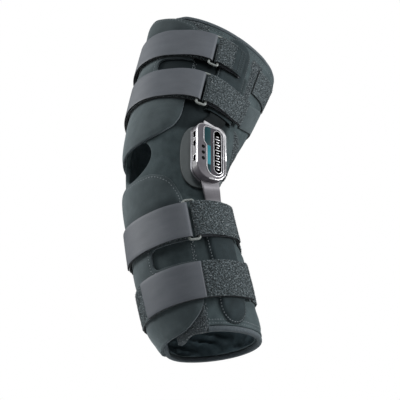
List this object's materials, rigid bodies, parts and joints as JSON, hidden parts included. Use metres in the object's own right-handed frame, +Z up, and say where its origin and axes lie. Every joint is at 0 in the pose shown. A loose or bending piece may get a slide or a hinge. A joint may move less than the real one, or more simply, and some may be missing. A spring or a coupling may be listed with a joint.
{
  "type": "hinged knee support",
  "caption": "Hinged wraparound knee support: hollow padded sleeve with a kneecap hole, wrap-over flaps, straps with rings, and side hinges with uprights.",
  "frame": {"origin": "middle of the knee, on the leg's middle line, between the two hinges", "axes": "+Z up the standing leg, -Y towards the front of the knee, +X towards the side with the strap rings"},
  "size_m": [0.15, 0.185, 0.3972],
  "materials": {
    "neoprene": "dark grey knit cloth over foam rubber",
    "edge_tape": "folded knit binding",
    "flap_cloth": "smooth matte cloth",
    "strap_webbing": "smooth laminated webbing",
    "loop_pile": "brushed loop pile with light fibres",
    "pocket_cloth": "dark knit cloth",
    "ring_plastic": "light grey, satin",
    "pad_rubber": "moulded, matte",
    "bright_steel": "polished",
    "bar_metal": "satin anodised",
    "cover_plastic": "satin grey with bright edges",
    "inlay_plastic": "dark, with a teal stripe"
  },
  "bodies": {
    "root": {"sleeve": "neoprene", "top_binding": "edge_tape", "bottom_binding": "edge_tape", "thigh_flap": "flap_cloth", "calf_flap": "flap_cloth", "thigh_strap_upper": "strap_webbing", "thigh_strap_lower": "strap_webbing", "calf_strap_upper": "strap_webbing", "calf_strap_lower": "strap_webbing", "thigh_anchor_upper": "loop_pile", "thigh_anchor_lower": "loop_pile", "calf_anchor_upper": "loop_pile", "calf_anchor_lower": "loop_pile", "thigh_ring_upper": "ring_plastic", "thigh_ring_lower": "ring_plastic", "calf_ring_upper": "ring_plastic", "hinge_pad_outer": "pad_rubber", "hinge_pad_inner": "pad_rubber", "upright_upper_outer": "bar_metal", "upright_lower_outer": "bar_metal", "upright_upper_inner": "bar_metal", "upright_lower_inner": "bar_metal", "pocket_upper_outer": "pocket_cloth", "pocket_lower_outer": "pocket_cloth", "pocket_upper_inner": "pocket_cloth", "pocket_lower_inner": "pocket_cloth", "hinge_plate_outer": "bright_steel", "hinge_plate_inner": "bright_steel", "hinge_cover_outer": "cover_plastic", "hinge_cover_inner": "cover_plastic", "hinge_inlay_outer": "inlay_plastic", "hinge_inlay_inner": "inlay_plastic"}
  },
  "joints": []
}
